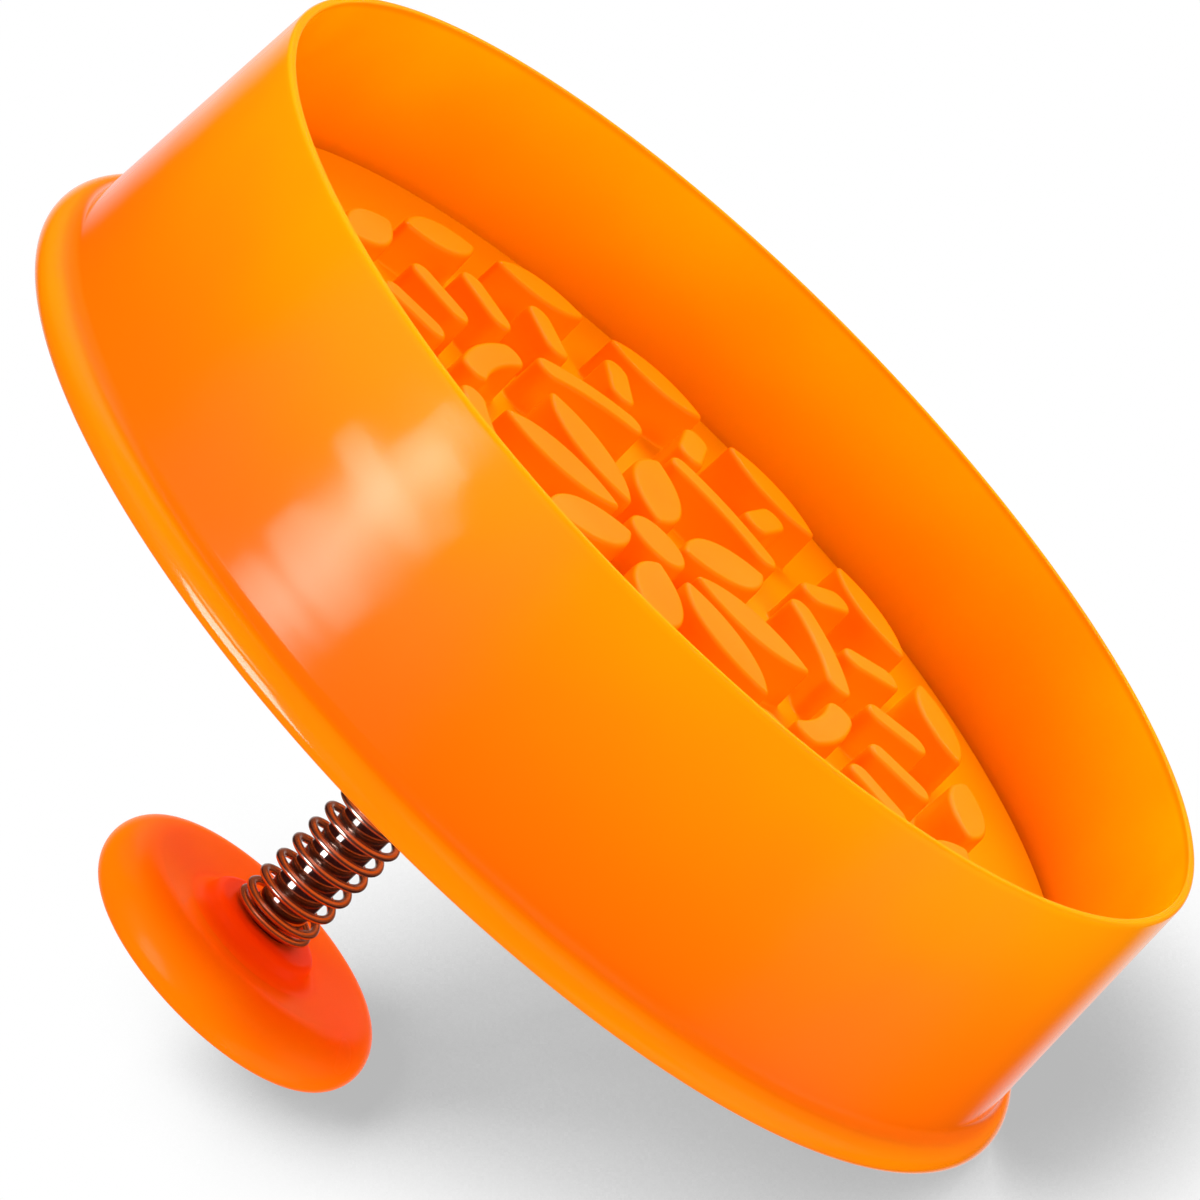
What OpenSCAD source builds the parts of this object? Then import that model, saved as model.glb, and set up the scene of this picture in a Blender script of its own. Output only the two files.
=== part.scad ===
// Round plunger cutter: a thin cutting ring with a flanged back, a sprung stamp plate inside it
// and a mushroom knob that presses the plate down through the ring.
// The cutter stands on its cutting edge at z = 0 and the plunger runs along Z, knob upwards.

/* [Cutter shell] */
// Outer diameter at the cutting edge
rim_d = 80; // [60:0.5:100]
// Height from the cutting edge to the back of the deck
shell_h = 21.6; // [20:0.1:30]
// How far the outside of the wall leans out between the cutting edge and the flange
wall_draft = 1.1; // [0.6:0.1:2]
// Wall thickness at the cutting edge
edge_t = 0.6; // [0.4:0.1:1]
// Wall thickness at the deck
wall_t = 1.5; // [1.2:0.1:2]
// Thickness of the flange, which is also the diameter of its rounded edge
flange_t = 2.5; // [2.2:0.1:4]
// Reach of the flange beyond the wall
flange_reach = 1.6; // [1.4:0.1:4]
// Radius of the fillet between the wall and the flange
flange_fillet = 1; // [0.6:0.1:2]
// Thickness of the deck that closes the back
deck_t = 2; // [1.4:0.1:3]
// Diameter of the guide hub under the deck
hub_d = 8; // [7:0.5:12]
// Length of the guide hub below the deck
hub_len = 2; // [1:0.1:4]
// Height of the cup rim that centres the spring on the deck
cup_h = 1.2; // [0.6:0.1:2]
// Thickness of the cup rim
cup_t = 1; // [0.8:0.1:2]

/* [Stamp plate] */
// Depth of the plate's face behind the cutting edge, with the plunger up
plate_depth = 11.7; // [9:0.1:12.5]
// Thickness of the plate
plate_t = 2; // [1.5:0.1:2.5]
// Diameter of the boss that carries the rod
boss_d = 9; // [7:0.5:14]
// Depth of the rod's socket in the boss
boss_socket = 4; // [3:0.1:4.5]
// Number of gussets between the boss and the plate
gusset_count = 6; // [3:1:12]
// Thickness of a gusset
gusset_t = 1.2; // [0.8:0.1:2]
// Reach of a gusset beyond the boss
gusset_reach = 12; // [6:0.5:16]
// Height of a gusset at the boss
gusset_h = 2.4; // [1:0.1:2.8]

/* [Relief] */
// Height of the raised pattern
relief_h = 3.3; // [1.5:0.1:4]
// Gap between one row of the pattern and the next
row_gap = 1.4; // [1:0.1:1.6]
// Width of the raised strokes
stroke_w = 2.4; // [2:0.1:2.6]
// Diameter of the button in the middle
button_d = 5; // [4:0.1:6]
// Number of petals round the button
petal_count = 8; // [6:1:9]
// Length of a petal
petal_len = 10.5; // [8:0.1:11]
// Width of a petal
petal_w = 4.6; // [3.5:0.1:5]
// Angle that an arc of the broken ring spans, between the centres of its round ends
arc_angle = 28; // [20:1:30]
// Number of spokes
spoke_count = 20; // [12:1:24]
// Length of a spoke
spoke_len = 5.6; // [4:0.1:6]
// Number of leaves in the outer row
leaf_count = 16; // [10:1:20]
// Length of a leaf along the row
leaf_len = 9; // [7:0.1:9.5]
// Width of a leaf
leaf_w = 3.6; // [3:0.1:4]

/* [Plunger rod] */
// Diameter of the rod
rod_d = 3.6; // [3:0.1:4]
// Chamfer on the ends of the rod
rod_chamfer = 0.4; // [0.2:0.1:0.6]

/* [Return spring] */
// Outer diameter of the spring
spring_d = 5.8; // [5.6:0.1:7]
// Diameter of the wire
wire_d = 0.6; // [0.4:0.05:0.7]
// Length of the spring as fitted, between the deck and the knob
spring_len = 24; // [20:0.5:30]
// Number of open turns
open_turns = 13; // [8:1:14]
// Number of closer turns at each end
close_turns = 1.5; // [1:0.5:2]
// Gap between the closer turns
close_gap = 0.45; // [0.45:0.05:0.6]

/* [Knob] */
// Diameter of the knob
knob_d = 22.6; // [20:0.2:30]
// Radius of the knob's rounded edge
knob_edge_r = 2.4; // [2:0.1:3]
// Rise of the dome above the widest part of the knob
dome_h = 3.9; // [3.4:0.1:6]
// Diameter of the boss that the spring presses on
seat_d = 8.8; // [8:0.1:10]
// Height of that boss above the dished face
seat_h = 1.5; // [1:0.1:2.5]
// Radius of the fillet at the foot of the boss
seat_fillet = 0.6; // [0.3:0.1:0.8]
// Depth of the dish between the boss and the rounded edge
dish_depth = 0.8; // [0.4:0.1:1]
// Depth of the rod's socket in the knob
knob_socket = 4.2; // [3:0.1:5]

/* [Fits] */
// Radial running clearance of the rod in its guide
guide_gap = 0.05; // [0.02:0.01:0.1]
// Radial gap between the plate and the inside of the cutting edge
plate_gap = 0.4; // [0.3:0.05:1]
// Radial gap between the spring and the cup on the deck
cup_gap = 0.35; // [0.3:0.05:0.6]
// Gap between the spring's end turns and what they press on
seat_gap = 0.05; // [0.02:0.01:0.1]

/* [Hidden] */
$fn = 96;

// Shell
rim_r = rim_d / 2;
wall_r = rim_r + wall_draft;
deck_front = shell_h - deck_t;
deck_middle = shell_h - deck_t / 2;
hub_front = deck_front - hub_len;
guide_r = rod_d / 2 + guide_gap;
edge_round = flange_t / 2;
edge_centre = [wall_r + flange_reach - edge_round, shell_h - edge_round];
fillet_r = wall_r + flange_fillet;
// The fillet's circle runs this far into the edge's circle, so that the two cross cleanly
fillet_bite = 0.004;
fillet_to_edge = flange_fillet + edge_round - fillet_bite;
fillet_drop = sqrt(pow(fillet_to_edge, 2) - pow(fillet_r - edge_centre[0], 2));
fillet_centre = [fillet_r, edge_centre[1] - fillet_drop];
cup_r = spring_d / 2 + cup_gap;

// Stamp plate and its rows of relief, from the middle outwards
plate_r = rim_r - edge_t - plate_gap;
plate_back = plate_depth + plate_t;
// The round end of a stroke is this much wider than the stroke, so that their outlines cross cleanly
end_bite = 0.004;
stroke_end_r = stroke_w / 2 + end_bite;
petal_row = button_d / 2 + row_gap / 2 + petal_len / 2;
arc_row = petal_row + petal_len / 2 + row_gap + stroke_w / 2;
spoke_row = arc_row + stroke_w / 2 + row_gap + spoke_len / 2;
leaf_row = spoke_row + spoke_len / 2 + row_gap + leaf_w / 2;

// Plunger, from the socket in the plate to the top of the knob
rod_bottom = hub_front - boss_socket;
knob_bottom = shell_h + spring_len;
rod_top = knob_bottom + knob_socket;
knob_r = knob_d / 2;
crest = [knob_r - knob_edge_r, seat_h - dish_depth];
knob_edge = [crest[0], crest[1] + knob_edge_r];
knob_top = knob_edge[1] + dome_h;
dome_r = (pow(crest[0], 2) + pow(dome_h, 2) - pow(knob_edge_r, 2)) / (2 * (dome_h - knob_edge_r));
dome_centre = knob_top - dome_r;
dome_slope = atan2(crest[0], knob_edge[1] - dome_centre);
dome_start = [dome_r * sin(dome_slope), dome_centre + dome_r * cos(dome_slope)];

// Spring
coil_r = (spring_d - wire_d) / 2;
close_pitch = wire_d + close_gap;
coil_rise = spring_len - wire_d - 2 * seat_gap;
open_pitch = (coil_rise - 2 * close_turns * close_pitch) / open_turns;
turns = open_turns + 2 * close_turns;
rings_per_turn = 8;
wire_sides = 6;

// Height of the wire's centre above its first end after a number of turns
function coil_height(turn) =
    turn <= close_turns ? turn * close_pitch
    : turn <= close_turns + open_turns ? close_turns * close_pitch + (turn - close_turns) * open_pitch
    : coil_rise - (turns - turn) * close_pitch;

function coil_point(turn) = [
    coil_r * cos(360 * turn),
    coil_r * sin(360 * turn),
    shell_h + seat_gap + wire_d / 2 + coil_height(turn)
];

coil_turns = [for (i = [0 : turns * rings_per_turn]) i / rings_per_turn];

// Least gap between one turn of the wire and the next
coil_gaps = [
    for (a = coil_turns, b = coil_turns)
        if (b - a > 0.5)
            norm(coil_point(a) - coil_point(b)) - wire_d
];
echo(least_gap_between_turns = min(coil_gaps));

// Corner points of the wire's cross-section at one place along the coil
function wire_ring(turn) =
    let (
        outward = [cos(360 * turn), sin(360 * turn), 0],
        step = coil_point(turn + 0.01) - coil_point(turn - 0.01),
        along = step / norm(step),
        across = cross(along, outward)
    )
    [
        for (k = [0 : wire_sides - 1])
            let (corner = 360 * k / wire_sides)
            coil_point(turn) + wire_d / 2 * (cos(corner) * outward + sin(corner) * across)
    ];

module shell_profile() {
    // Wall, thin at the cutting edge and thicker at the deck
    polygon([
        [rim_r - edge_t, 0],
        [rim_r, 0],
        [wall_r, fillet_centre[1]],
        [wall_r, deck_middle],
        [wall_r - wall_t, deck_middle],
        [wall_r - wall_t, deck_front]
    ]);
    // Deck and guide hub
    translate([guide_r, deck_front]) square([edge_centre[0] - guide_r, deck_t]);
    translate([guide_r, hub_front]) square([hub_d / 2 - guide_r, hub_len + deck_t / 2]);
    // Cup rim round the spring's end
    translate([cup_r, deck_middle]) square([cup_t, deck_t / 2 + cup_h]);
    // Rounded flange, blended into the wall
    translate(edge_centre) circle(edge_round);
    difference() {
        polygon([
            [wall_r - wall_t, fillet_centre[1]],
            fillet_centre,
            edge_centre,
            [wall_r - wall_t, edge_centre[1]]
        ]);
        translate(fillet_centre) circle(flange_fillet);
        // Inside of the wall
        translate([0, fillet_centre[1]]) square([wall_r - wall_t, deck_front - fillet_centre[1]]);
    }
}

module cutter_shell() {
    color("darkorange") rotate_extrude() shell_profile();
}

// Leaf shape with two pointed ends, along X
module leaf(length, width) {
    side_r = (length * length + width * width) / (4 * width);
    intersection() {
        translate([0, side_r - width / 2]) circle(side_r);
        translate([0, width / 2 - side_r]) circle(side_r);
    }
}

// Straight stroke with round ends, along X
module stroke(length) {
    square([length - stroke_w, stroke_w], center = true);
    for (side = [-1, 1])
        translate([side * (length - stroke_w) / 2, 0]) circle(stroke_end_r);
}

// Stroke with round ends that follows a circle about the origin
module arc_stroke(radius, angle) {
    reach = 2 * radius;
    intersection() {
        difference() {
            circle(radius + stroke_w / 2);
            circle(radius - stroke_w / 2);
        }
        polygon([
            [0, 0],
            [reach * cos(angle / 2), -reach * sin(angle / 2)],
            [reach * cos(angle / 2), reach * sin(angle / 2)]
        ]);
    }
    for (side = [-1, 1])
        rotate(side * angle / 2) translate([radius, 0]) circle(stroke_end_r);
}

// Copies of a shape set round a circle
module ring_of(count, radius) {
    for (i = [0 : count - 1])
        rotate(360 / count * i) translate([radius, 0]) children();
}

module relief_pattern() {
    circle(button_d / 2);
    ring_of(petal_count, petal_row) leaf(petal_len, petal_w);
    rotate(180 / petal_count) ring_of(petal_count, 0) arc_stroke(arc_row, arc_angle);
    ring_of(spoke_count, spoke_row) stroke(spoke_len);
    ring_of(leaf_count, leaf_row) rotate(90) leaf(leaf_len, leaf_w);
}

module gusset() {
    tip = boss_d / 2 + gusset_reach;
    // The gusset starts inside the boss, halfway to the rod
    root = (boss_d + rod_d) / 4;
    rotate([90, 0, 0])
        linear_extrude(gusset_t, center = true)
            polygon([
                [root, 0],
                [tip, 0],
                [root, gusset_h * (tip - root) / gusset_reach]
            ]);
}

module stamp_plate() {
    color("orange") difference() {
        union() {
            translate([0, 0, plate_depth]) cylinder(r = plate_r, h = plate_t);
            translate([0, 0, plate_depth - relief_h])
                linear_extrude(relief_h + plate_t / 2) relief_pattern();
            translate([0, 0, plate_depth]) cylinder(d = boss_d, h = hub_front - plate_depth);
            translate([0, 0, plate_back]) ring_of(gusset_count, 0) gusset();
        }
        translate([0, 0, rod_bottom]) cylinder(d = rod_d, h = hub_front);
    }
}

module plunger_rod() {
    rod_r = rod_d / 2;
    color("silver") rotate_extrude()
        polygon([
            [0, rod_bottom],
            [rod_r - rod_chamfer, rod_bottom],
            [rod_r, rod_bottom + rod_chamfer],
            [rod_r, rod_top - rod_chamfer],
            [rod_r - rod_chamfer, rod_top],
            [0, rod_top]
        ]);
}

module return_spring() {
    rings = [for (turn = coil_turns) wire_ring(turn)];
    last = len(rings) - 1;
    points = [for (ring = rings) each ring];
    skin = [
        for (i = [0 : last - 1], k = [0 : wire_sides - 1])
            let (
                here = i * wire_sides,
                there = here + wire_sides,
                next = (k + 1) % wire_sides
            )
            each [[here + k, there + k, there + next], [here + k, there + next, here + next]]
    ];
    first_end = [for (k = [1 : wire_sides - 2]) [0, k, k + 1]];
    last_end = [for (k = [1 : wire_sides - 2]) [0, k + 1, k] + last * wire_sides * [1, 1, 1]];
    color("gainsboro") polyhedron(points, concat(skin, first_end, last_end));
}

module knob_profile() {
    difference() {
        union() {
            // Boss under the spring, with a fillet at its foot
            square([seat_d / 2, knob_edge[1]]);
            difference() {
                translate([0, seat_h - seat_fillet]) square([seat_d / 2 + seat_fillet, seat_fillet]);
                translate([seat_d / 2 + seat_fillet, seat_h - seat_fillet]) circle(seat_fillet);
            }
            // Dished face
            polygon([
                [0, seat_h],
                [seat_d / 2, seat_h],
                crest,
                knob_edge,
                [0, knob_edge[1]]
            ]);
            // Rounded edge, running into the dome
            translate(knob_edge) circle(knob_edge_r);
            intersection() {
                translate([0, dome_centre]) circle(dome_r);
                polygon([
                    [0, knob_edge[1]],
                    knob_edge,
                    dome_start,
                    [dome_start[0], knob_top],
                    [0, knob_top]
                ]);
            }
        }
        // Socket for the rod
        square([rod_d / 2, knob_socket]);
    }
}

module knob() {
    color("orangered") translate([0, 0, knob_bottom]) rotate_extrude() knob_profile();
}

cutter_shell();
stamp_plate();
plunger_rod();
return_spring();
knob();
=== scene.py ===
"""Round plunger cutter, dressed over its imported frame: shell, stamp plate, rod, return spring and knob."""

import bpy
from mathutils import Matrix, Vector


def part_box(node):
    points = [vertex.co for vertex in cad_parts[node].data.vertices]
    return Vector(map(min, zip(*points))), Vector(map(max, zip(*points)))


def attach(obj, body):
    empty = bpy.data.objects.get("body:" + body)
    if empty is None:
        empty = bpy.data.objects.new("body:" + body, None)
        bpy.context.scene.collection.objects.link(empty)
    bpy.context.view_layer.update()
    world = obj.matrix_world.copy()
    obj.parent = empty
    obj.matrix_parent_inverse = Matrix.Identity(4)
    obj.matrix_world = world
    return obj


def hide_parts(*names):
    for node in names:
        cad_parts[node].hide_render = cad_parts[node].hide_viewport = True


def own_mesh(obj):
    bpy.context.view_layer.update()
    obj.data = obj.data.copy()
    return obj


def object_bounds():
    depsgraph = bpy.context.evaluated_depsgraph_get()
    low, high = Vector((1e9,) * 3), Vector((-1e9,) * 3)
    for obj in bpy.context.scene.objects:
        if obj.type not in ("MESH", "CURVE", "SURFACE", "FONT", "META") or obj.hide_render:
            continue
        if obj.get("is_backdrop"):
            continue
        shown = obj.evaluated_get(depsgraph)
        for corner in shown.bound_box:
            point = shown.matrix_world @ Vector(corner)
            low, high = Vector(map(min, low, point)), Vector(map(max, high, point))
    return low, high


bl_info = {
    "name": "Plunger Cutter",
    "version": (1, 0, 0),
    "blender": (4, 5, 0),
    "location": "View3D > Sidebar > Cutter",
    "description": "Builds the visual pieces of a round plunger cutter and the stage it is shown on",
    "category": "Object",
}

from math import acos, atan2, ceil, copysign, cos, degrees, pi, radians, sin, sqrt, tan

import bmesh
import bpy
from bpy.props import FloatProperty, FloatVectorProperty, IntProperty, PointerProperty
from bpy.types import NodeSocket, Operator, Panel, PropertyGroup
from mathutils import Matrix, Vector

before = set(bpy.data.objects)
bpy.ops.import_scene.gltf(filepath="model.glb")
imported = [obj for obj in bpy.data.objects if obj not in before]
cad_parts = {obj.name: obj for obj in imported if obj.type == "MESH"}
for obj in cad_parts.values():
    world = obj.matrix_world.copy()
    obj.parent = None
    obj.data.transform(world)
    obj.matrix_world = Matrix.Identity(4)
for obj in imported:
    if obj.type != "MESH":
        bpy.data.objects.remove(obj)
CAD_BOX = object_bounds()

MM = 0.001
SHELL_LOW, SHELL_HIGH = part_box("cutter_shell")
PLATE_LOW, PLATE_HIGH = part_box("stamp_plate")
ROD_LOW, ROD_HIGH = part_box("plunger_rod")
SPRING_LOW, SPRING_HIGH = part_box("return_spring")
KNOB_LOW, KNOB_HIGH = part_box("knob")

# Steps along one turn of the spring, and sides of its wire
COIL_STEPS, WIRE_SIDES = 56, 14


def setting(kind, **limits):
    """Maker of settings of one kind, each from its name, default and description."""

    def make(name, default, description):
        return kind(name=name, default=default, description=description, **limits)

    return make


length = setting(FloatProperty, min=0.0, unit="LENGTH", precision=5)
angle = setting(FloatProperty, subtype="ANGLE")
count = setting(IntProperty, min=1)
amount = setting(FloatProperty, min=0.0)
share = setting(FloatProperty, min=0.0, max=1.0, subtype="FACTOR")
colour = setting(FloatVectorProperty, size=3, min=0.0, max=1.0, subtype="COLOR")


class CutterShellSettings(PropertyGroup):
    """Cutting ring, flange and deck."""

    rim_radius: length("Rim radius", 40 * MM, "Outer radius at the cutting edge")
    edge_width: length("Edge width", 0.6 * MM, "Wall thickness at the cutting edge")
    edge_round: length("Edge rounding", 0.26 * MM, "Outer rounding of the cutting edge")
    edge_inner_round: length("Inner edge rounding", 0.14 * MM, "Inner rounding of the cutting edge")
    wall_lean: length("Wall lean", 1.1 * MM, "How far the wall leans out on its way to the flange")
    wall_width: length("Wall width", 1.5 * MM, "Wall thickness at the deck")
    flange_width: length("Flange thickness", 2.5 * MM, "Thickness of the rounded flange")
    flange_fillet: length("Flange fillet", 1.0 * MM, "Radius between the wall and the flange")
    deck_width: length("Deck thickness", 2.0 * MM, "Thickness of the deck")
    deck_fillet: length("Deck fillet", 0.8 * MM, "Radius between the deck and the inside of the wall")
    hub_radius: length("Hub radius", 4.0 * MM, "Radius of the guide hub under the deck")
    hub_length: length("Hub length", 2.0 * MM, "Length of the guide hub")
    hub_fillet: length("Hub fillet", 0.5 * MM, "Radius between the hub and the deck")
    hub_round: length("Hub rounding", 0.3 * MM, "Rounding along the end of the hub")
    guide_radius: length("Guide radius", 1.85 * MM, "Radius of the hole that the rod runs in")
    guide_round: length("Guide rounding", 0.25 * MM, "Rounding of the hole in the cup")
    guide_end_round: length("Guide end rounding", 0.2 * MM, "Rounding of the hole in the hub's end")
    cup_radius: length("Cup radius", 3.25 * MM, "Inner radius of the cup rim round the spring")
    cup_width: length("Cup rim width", 1.0 * MM, "Thickness of the cup rim")
    cup_height: length("Cup rim height", 1.2 * MM, "Height of the cup rim over the deck")
    cup_round: length("Cup rim rounding", 0.28 * MM, "Rounding along the top of the cup rim")
    cup_fillet: length("Cup rim fillet", 0.3 * MM, "Radius between the cup rim and the deck")
    cup_inner_fillet: length("Inner cup fillet", 0.15 * MM, "The same inside the cup rim")
    deep_colour: colour("Deep orange", (0.93, 0.141, 0.0), "Plastic where the wall is thick")
    # Painted glow: this lighter orange stands in for light through the rounded flange, not for a colour of
    # the plastic.
    flange_glow_colour: colour("Flange orange", (0.96, 0.222, 0.0), "Plastic along the rounded flange")
    # Painted glow: this orange stands in for light coming through the thin wall, not for a colour of the
    # plastic.
    thin_glow_colour: colour("Thin orange", (0.98, 0.301, 0.0), "Plastic where the wall lets light through")
    # Painted glow: this lighter orange stands in for light that reaches the inside of the wall.
    inner_glow_colour: colour("Inner orange", (0.98, 0.474, 0.0), "The same on the inside of the wall")
    # Painted glow: a lighter orange line along the cutting edge, where the rim catches the light.
    edge_glow_colour: colour("Edge orange", (0.97, 0.32, 0.0), "Plastic along the cutting edge")
    wall_gloss: share("Wall roughness", 0.12, "Roughness of the wall and the flange")
    deck_gloss: share("Deck roughness", 0.34, "Roughness of the satin deck")


class StampPlateSettings(PropertyGroup):
    """Stamp plate and its raised rosette."""

    thickness: length("Thickness", 2.0 * MM, "Thickness of the plate")
    rim_round: length("Rim rounding", 0.3 * MM, "Rounding along the rim of the plate")
    relief_height: length("Relief height", 3.3 * MM, "Height of the raised pattern")
    edge_round: length("Edge rounding", 0.32 * MM, "Rounding along the top of the pattern")
    foot_round: length("Foot fillet", 0.18 * MM, "Fillet where the pattern meets the plate")
    draft: length("Draft", 0.10 * MM, "How far the sides of the pattern lean in towards the top")
    row_gap: length("Row gap", 1.4 * MM, "Gap between one row of the pattern and the next")
    stroke_width: length("Stroke width", 2.4 * MM, "Width of arcs and spokes")
    button_radius: length("Button radius", 2.5 * MM, "Radius of the button in the middle")
    petals: count("Petals", 8, "Petals round the button, and arcs of the broken ring")
    petal_length: length("Petal length", 10.5 * MM, "Length of a petal")
    petal_width: length("Petal width", 4.6 * MM, "Width of a petal")
    arc_angle: angle("Arc angle", radians(28), "Angle that an arc spans")
    spokes: count("Spokes", 20, "Number of spokes")
    spoke_length: length("Spoke length", 5.6 * MM, "Length of a spoke")
    leaves: count("Leaves", 16, "Leaves in the outer row")
    leaf_length: length("Leaf length", 9.0 * MM, "Length of a leaf")
    leaf_width: length("Leaf width", 3.6 * MM, "Width of a leaf")
    tip_radius: length("Tip radius", 0.5 * MM, "Radius of the tips of petals and leaves")
    boss_radius: length("Boss radius", 4.5 * MM, "Radius of the boss behind the plate")
    boss_fillet: length("Boss fillet", 0.5 * MM, "Radius between the boss and the plate")
    boss_round: length("Boss rounding", 0.3 * MM, "Rounding along the top of the boss")
    socket_round: length("Socket rounding", 0.15 * MM, "Rounding of the socket for the rod")
    gussets: count("Gussets", 6, "Gussets between the boss and the plate")
    gusset_reach: length("Gusset reach", 12 * MM, "How far a gusset reaches out from the boss")
    gusset_height: length("Gusset height", 2.4 * MM, "Height of a gusset at the boss")
    gusset_width: length("Gusset width", 1.2 * MM, "Thickness of a gusset")
    face_colour: colour("Face orange", (0.93, 0.255, 0.0), "Plastic of the plate's face")
    # Painted shade: this darker orange keeps the strongly lit tops of the pattern as dark as the face.
    crest_shade_colour: colour("Crest orange", (0.95, 0.184, 0.0), "Plastic at the top of the pattern")


class PlungerRodSettings(PropertyGroup):
    """Steel rod."""

    chamfer: length("Chamfer", 0.4 * MM, "Chamfer on the ends")
    steel_colour: colour("Steel", (0.56, 0.50, 0.48), "Drawn steel")


class ReturnSpringSettings(PropertyGroup):
    """Wound steel spring."""

    wire_radius: length("Wire radius", 0.3 * MM, "Radius of the wire")
    end_round: length("End rounding", 0.12 * MM, "Rounding of the wire's cut ends")
    coil_radius: length("Coil radius", 2.6 * MM, "Radius of the coil at the middle of the wire")
    turns: setting(FloatProperty, min=4.0)("Turns", 16.5, "Number of turns, closer ones included")
    close_turns: setting(FloatProperty, min=0.5)("Closer turns", 1.5, "Closer turns at each end")
    ease_turns: setting(FloatProperty, min=0.1)("Eased turns", 0.6, "Turns over which the pitch changes")
    close_share: share("Closer pitch", 0.5, "Pitch of the closer turns as a share of the open pitch")
    # Partly the wire's warm tone, partly painted reflection of the orange plastic round the spring.
    steel_colour: colour("Steel", (0.64, 0.52, 0.46), "Plated wire")


class KnobSettings(PropertyGroup):
    """Mushroom knob."""

    edge_radius: length("Edge radius", 2.4 * MM, "Radius of the rounded edge")
    seat_radius: length("Seat radius", 4.4 * MM, "Radius of the boss that the spring presses on")
    seat_height: length("Seat height", 1.5 * MM, "Height of that boss")
    seat_taper: length("Seat taper", 0.25 * MM, "How far the boss narrows to the top and widens below")
    seat_round: length("Seat rounding", 0.7 * MM, "Rounding along the top of the boss")
    seat_fillet: length("Seat fillet", 0.9 * MM, "Fillet at the foot of the boss")
    socket_round: length("Socket rounding", 0.2 * MM, "Rounding of the socket for the rod")
    dish_depth: length("Dish depth", 0.8 * MM, "Depth of the dish round the boss")
    body_colour: colour("Red orange", (0.95, 0.187, 0.0), "Plastic of the knob")
    # Colour of the flow marks, and also painted shade on the boss and round its foot, where the spring
    # shades it.
    boss_shade_and_flow_colour: colour("Deep red orange", (0.94, 0.066, 0.0), "Plastic of the boss and the flow marks")


class CutterStageSettings(PropertyGroup):
    """Camera, floors and studio light."""

    lens: setting(FloatProperty, min=1.0, subtype="DISTANCE_CAMERA")("Lens", 288.25, "Focal length")
    distance: length("Camera distance", 620.15 * MM, "From the aim point to the camera")
    azimuth: angle("Camera azimuth", radians(151.6), "About Z, from -Y")
    elevation: angle("Camera elevation", radians(-16.838), "Above the plane of the cutting edge")
    roll: angle("Camera roll", radians(-134.15), "About the line of sight")
    aim: setting(FloatVectorProperty, size=3, subtype="TRANSLATION")(
        "Aim", (-0.749 * MM, -1.472 * MM, 14.545 * MM), "Point in the middle of the picture"
    )
    lying_azimuth: angle("Lying side", radians(-45), "Azimuth of the side that the cutter lies on")
    shadow_reach: length("Shadow reach", 85 * MM, "How far the soft ground shadow reaches")
    shadow_depth: share("Shadow depth", 0.48, "Brightness of the pale floor in full shadow")
    room_strength: amount("Room", 0.3, "Light from the white room")
    diffuser_strength: amount("Diffusers", 1.0, "Strength of the wide lights")
    diffuser_angle: angle("Diffuser angle", radians(50), "Angle that a wide light spans in the sky")
    glint_strength: amount("Glints", 1.0, "Strength of the glints")
    glint_colour: colour("Glint colour", (1.0, 0.97, 0.86), "Colour of the glints")
    glint_distance: length("Glint distance", 80 * MM, "From the wall to the panels that it mirrors")
    glint_beam: angle("Glint beam", radians(36), "Angle of the panels' beam, which misses the deck")
    steel_strength: amount("Steel", 11.0, "Strength of the spring's streaks")
    backdrop_colour: colour("Backdrop", (0.68, 0.68, 0.68), "Backdrop as the gloss mirrors it")
    dim_colour: colour("Dim room", (0.32, 0.080, 0.03), "Rest of the room as the gloss mirrors it")
    dark_colour: colour("Dark room", (0.05, 0.008, 0.006), "The same at the level that walls mirror")


# Wide soft lights: name, azimuth and elevation in degrees, strength
DIFFUSERS = (
    ("Back diffuser", -129, -25, 0.91),
    ("Overhead diffuser", -162, -50, 0.75),
    ("Knob diffuser", -30, 50, 0.62),
    ("Right diffuser", 18, -50, 0.56),
    ("Side diffuser", 116, 0, 0.39),
    ("Front diffuser", 90, 25, 0.34),
    ("Left diffuser", 180, -25, 0.30),
    ("Rim diffuser", -30, 0, 0.38),
    ("Low left diffuser", 120, 25, 0.22),
)

# Soft glints on the wall: height, azimuth and half width in degrees, length along the wall, strength
GLINTS = (
    (3.2 * MM, 80.3, 3.6, 3.2 * MM, 8.0),
    (7.6 * MM, 81.3, 7.2, 5.8 * MM, 10.5),
    (13.3 * MM, 80.5, 5.8, 5.8 * MM, 8.8),
    (17.0 * MM, 81.5, 3.8, 3.2 * MM, 3.2),
)


def arc(centre, radius, start, end, step=9.0):
    """Points of an arc in degrees, both ends included."""
    pieces = max(2, ceil(abs(end - start) / step))
    angles = [radians(start + (end - start) * i / pieces) for i in range(pieces + 1)]
    return [(centre[0] + radius * cos(a), centre[1] + radius * sin(a)) for a in angles]


def rounded(corners):
    """Path through corners of (r, z) or (r, z, radius), each rounded to its radius.
    Guard points next to a rounding keep the straight runs flat under smooth shading."""
    guard_share, least_room = 0.35, 2.5
    path = []
    for i, (r, z, *radii) in enumerate(corners):
        if not radii:
            path.append((r, z))
            continue
        at, radius = Vector((r, z)), radii[0]
        before = Vector(corners[i - 1][:2]) - at
        after = Vector(corners[(i + 1) % len(corners)][:2]) - at
        u, v = before.normalized(), after.normalized()
        half = u.angle(v) / 2
        cut = radius / tan(half)
        middle = at + (u + v).normalized() * (radius / sin(half))
        first, last = at + u * cut - middle, at + v * cut - middle
        start = degrees(atan2(first.y, first.x))
        sweep = degrees(atan2(first.x * last.y - first.y * last.x, first.dot(last)))
        guard = cut + guard_share * radius
        if before.length > least_room * guard:
            path.append(tuple(at + u * guard))
        path.extend(arc(middle, radius, start, start + sweep))
        if after.length > least_room * guard:
            path.append(tuple(at + v * guard))
    return path


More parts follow.
